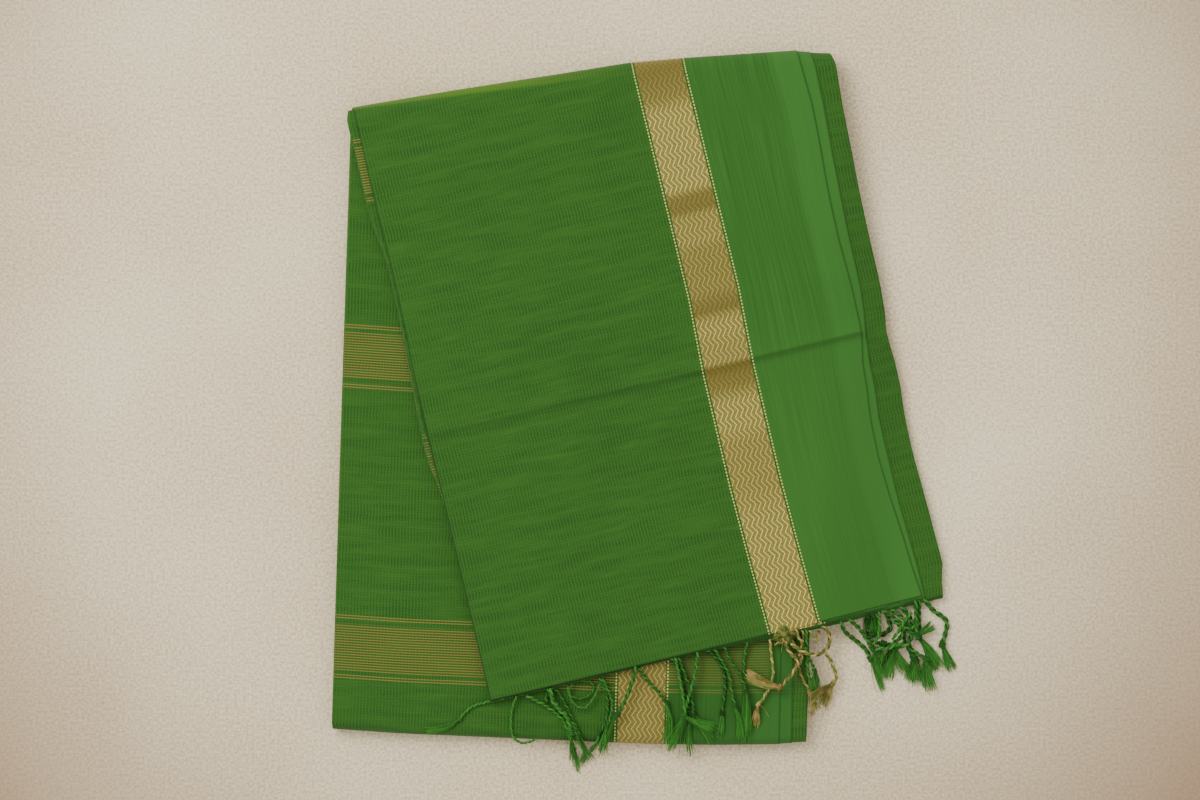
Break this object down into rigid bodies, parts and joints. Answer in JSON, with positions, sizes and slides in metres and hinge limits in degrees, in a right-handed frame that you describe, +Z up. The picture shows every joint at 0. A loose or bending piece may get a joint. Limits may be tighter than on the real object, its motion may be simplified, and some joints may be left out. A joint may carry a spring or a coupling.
{
  "type": "folded cotton sari",
  "caption": "Long cotton sari folded into a flat pad, its tasselled end brought over the top as a slanted flap with a metallic zigzag border.",
  "frame": {"origin": "middle of the covered area, on the surface that the cloth rests on", "axes": "+Z up out of the surface, +Y from the tasselled end towards the top fold, +X to the right as seen from above"},
  "size_m": [0.388, 0.442, 0.0197],
  "materials": {
    "cloth": "fine plain cotton, mid green, with a woven olive gold border and weft bands of metallic thread",
    "green_tassels": "twisted cotton warp ends, knotted and brushed out, deep green",
    "gold_tassels": "twisted warp ends of the border with metallic thread, dull brown gold"
  },
  "bodies": {
    "root": {"sari_cloth": "cloth", "fringe_left": "green_tassels", "fringe_border": "gold_tassels", "fringe_right": "green_tassels"}
  },
  "joints": []
}
